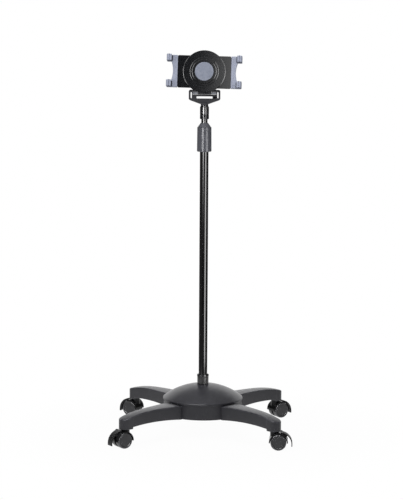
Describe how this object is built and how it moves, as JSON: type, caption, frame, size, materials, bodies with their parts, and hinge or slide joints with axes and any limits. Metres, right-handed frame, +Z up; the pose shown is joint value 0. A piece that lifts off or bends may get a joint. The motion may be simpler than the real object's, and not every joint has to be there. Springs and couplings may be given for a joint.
{
  "type": "tablet floor stand",
  "caption": "Rolling floor stand with a telescopic pole, twist clutch and a tilting, turning spring-jaw holder that grips a tablet; braked swivel casters.",
  "frame": {"origin": "on the floor under the pole axis", "axes": "+Z up along the pole, -Y towards the user and the tablet side, +X to the right of the picture"},
  "size_m": [0.4633, 0.4424, 0.9867],
  "materials": {
    "moulded_dark": "moulded satin dark grey",
    "black_gloss": "gloss black enamel on steel",
    "black_plastic": "moulded black, fine grain",
    "caster_black": "moulded gloss black",
    "wheel_grey": "moulded nylon, dark grey",
    "clutch_grey": "satin dark grey",
    "jaw_grey": "moulded blue-grey, smooth",
    "pad_grey": "soft blue-grey pad",
    "grip_rubber": "black rubber",
    "nylon": "natural nylon",
    "zinc_steel": "zinc plated"
  },
  "bodies": {
    "base": {"hub_drum": "moulded_dark", "dome_cover": "moulded_dark", "leg_fr": "moulded_dark", "leg_fl": "moulded_dark", "leg_br": "moulded_dark", "leg_bl": "moulded_dark", "leg_bolts": "zinc_steel", "stem_sockets": "nylon", "pole_bolt": "zinc_steel", "pole_plug": "zinc_steel", "pole_ferrule": "black_gloss", "outer_tube": "black_gloss", "clutch_sleeve": "nylon", "clutch_collet": "nylon"},
    "clutch": {"clutch_collar": "clutch_grey"},
    "mast": {"inner_tube": "black_gloss", "glide_plug": "nylon", "lock_ring": "black_gloss", "coupler": "black_gloss"},
    "pan_head": {"yoke": "black_plastic", "pan_stud": "zinc_steel", "hinge_pin": "zinc_steel", "hinge_sleeves": "jaw_grey", "tension_screw": "zinc_steel"},
    "tilt_head": {"tilt_bracket": "black_plastic"},
    "holder": {"friction_washer": "nylon", "rotor_bolt": "zinc_steel", "rotor_nut": "zinc_steel", "back_cover": "black_plastic", "holder_body": "black_plastic", "cover_screws": "zinc_steel", "holder_disc": "black_plastic", "centre_pad": "pad_grey", "spring_left": "zinc_steel", "spring_right": "zinc_steel"},
    "left_jaw": {"jaw_left": "jaw_grey", "grips_left": "grip_rubber"},
    "right_jaw": {"jaw_right": "jaw_grey", "grips_right": "grip_rubber"},
    "caster_fr": {"hood_fr": "caster_black", "stem_fr": "zinc_steel"},
    "wheelset_fr": {"wheels_fr": "wheel_grey", "axle_fr": "zinc_steel"},
    "brake_fr": {"pedal_fr": "caster_black"},
    "caster_fl": {"hood_fl": "caster_black", "stem_fl": "zinc_steel"},
    "wheelset_fl": {"wheels_fl": "wheel_grey", "axle_fl": "zinc_steel"},
    "brake_fl": {"pedal_fl": "caster_black"},
    "caster_br": {"hood_br": "caster_black", "stem_br": "zinc_steel"},
    "wheelset_br": {"wheels_br": "wheel_grey", "axle_br": "zinc_steel"},
    "brake_br": {"pedal_br": "caster_black"},
    "caster_bl": {"hood_bl": "caster_black", "stem_bl": "zinc_steel"},
    "wheelset_bl": {"wheels_bl": "wheel_grey", "axle_bl": "zinc_steel"},
    "brake_bl": {"pedal_bl": "caster_black"}
  },
  "joints": [
    {"name": "clutch_twist", "type": "hinge", "parent": "base", "child": "clutch", "pos_m": [0, 0, 0.76], "axis": [0, 0, 1], "range_deg": [0, 90]},
    {"name": "height_slide", "type": "slide", "parent": "base", "child": "mast", "axis": [0, 0, 1], "range_m": [0, 0.43]},
    {"name": "head_pan", "type": "hinge", "parent": "mast", "child": "pan_head", "pos_m": [0, 0, 0.8465], "axis": [0, 0, 1], "continuous": true},
    {"name": "head_tilt", "type": "hinge", "parent": "pan_head", "child": "tilt_head", "pos_m": [0, 0, 0.8773], "axis": [-1, 0, 0], "range_deg": [-10, 75]},
    {"name": "holder_turn", "type": "hinge", "parent": "tilt_head", "child": "holder", "pos_m": [0, 0.0088, 0.92723], "axis": [0, -0.9848, 0.1736], "continuous": true},
    {"name": "jaw_left_slide", "type": "slide", "parent": "holder", "child": "left_jaw", "axis": [-0.9998, 0.0036, 0.0206], "range_m": [0, 0.045], "stiffness_N_per_m": 150, "springref_m": -0.02, "deforming": ["spring_left"]},
    {"name": "jaw_right_slide", "type": "slide", "parent": "holder", "child": "right_jaw", "axis": [0.9998, -0.0036, -0.0206], "range_m": [0, 0.045], "stiffness_N_per_m": 150, "springref_m": -0.02, "deforming": ["spring_right"]},
    {"name": "caster_fr_swivel", "type": "hinge", "parent": "base", "child": "caster_fr", "pos_m": [0.18703, -0.18703, 0.046], "axis": [0, 0, 1], "continuous": true},
    {"name": "caster_fr_roll", "type": "hinge", "parent": "caster_fr", "child": "wheelset_fr", "pos_m": [0.19703, -0.18703, 0.02], "axis": [0, 1, 0], "continuous": true},
    {"name": "caster_fr_brake", "type": "hinge", "parent": "caster_fr", "child": "brake_fr", "pos_m": [0.205, -0.18703, 0.0433], "axis": [0, 1, 0], "range_deg": [0, 8]},
    {"name": "caster_fl_swivel", "type": "hinge", "parent": "base", "child": "caster_fl", "pos_m": [-0.18703, -0.18703, 0.046], "axis": [0, 0, 1], "continuous": true},
    {"name": "caster_fl_roll", "type": "hinge", "parent": "caster_fl", "child": "wheelset_fl", "pos_m": [-0.19532, -0.19262, 0.02], "axis": [0.5592, -0.829, 0], "continuous": true},
    {"name": "caster_fl_brake", "type": "hinge", "parent": "caster_fl", "child": "brake_fl", "pos_m": [-0.20192, -0.19708, 0.0433], "axis": [0.5592, -0.829, 0], "range_deg": [0, 8]},
    {"name": "caster_br_swivel", "type": "hinge", "parent": "base", "child": "caster_br", "pos_m": [0.18703, 0.18703, 0.046], "axis": [0, 0, 1], "continuous": true},
    {"name": "caster_br_roll", "type": "hinge", "parent": "caster_br", "child": "wheelset_br", "pos_m": [0.19551, 0.19233, 0.02], "axis": [-0.5299, 0.848, 0], "continuous": true},
    {"name": "caster_br_brake", "type": "hinge", "parent": "caster_br", "child": "brake_br", "pos_m": [0.20227, 0.19655, 0.0433], "axis": [-0.5299, 0.848, 0], "range_deg": [0, 8]},
    {"name": "caster_bl_swivel", "type": "hinge", "parent": "base", "child": "caster_bl", "pos_m": [-0.18703, 0.18703, 0.046], "axis": [0, 0, 1], "continuous": true},
    {"name": "caster_bl_roll", "type": "hinge", "parent": "caster_bl", "child": "wheelset_bl", "pos_m": [-0.19569, 0.19203, 0.02], "axis": [-0.5, -0.866, 0], "continuous": true},
    {"name": "caster_bl_brake", "type": "hinge", "parent": "caster_bl", "child": "brake_bl", "pos_m": [-0.20259, 0.19601, 0.0433], "axis": [-0.5, -0.866, 0], "range_deg": [0, 8]}
  ]
}
